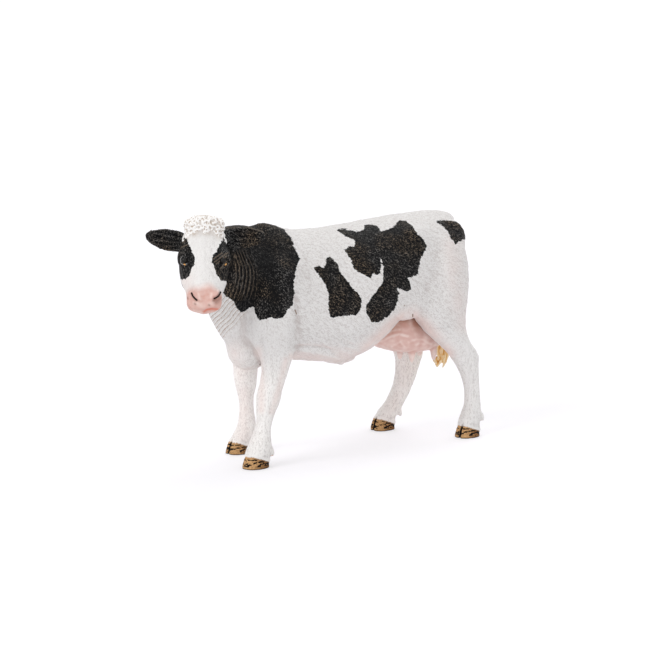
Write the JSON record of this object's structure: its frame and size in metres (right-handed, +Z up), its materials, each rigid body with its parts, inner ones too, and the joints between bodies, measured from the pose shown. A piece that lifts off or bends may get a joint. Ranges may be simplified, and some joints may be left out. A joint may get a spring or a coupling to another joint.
{
  "type": "toy farm animal figure",
  "caption": "Solid soft-plastic dairy cow figure, standing with its head turned to the left, in a black and white coat with a pink muzzle and udder.",
  "frame": {"origin": "on the ground plane, below the middle of the bounding box", "axes": "+Z up, -X towards the cow's front end, -Y towards its left side, to which the head is turned"},
  "size_m": [0.1268, 0.0454, 0.0857],
  "materials": {
    "white_coat": "off-white paint with black patches on a finely haired surface",
    "black_coat": "matt black paint on a finely haired surface",
    "udder_skin": "pink paint, satin"
  },
  "bodies": {
    "root": {"torso": "white_coat", "head_neck": "white_coat", "ear_left": "black_coat", "ear_right": "black_coat", "foreleg_left": "white_coat", "foreleg_right": "white_coat", "hindleg_left": "white_coat", "hindleg_right": "white_coat", "udder": "udder_skin", "tail": "white_coat"}
  },
  "joints": []
}
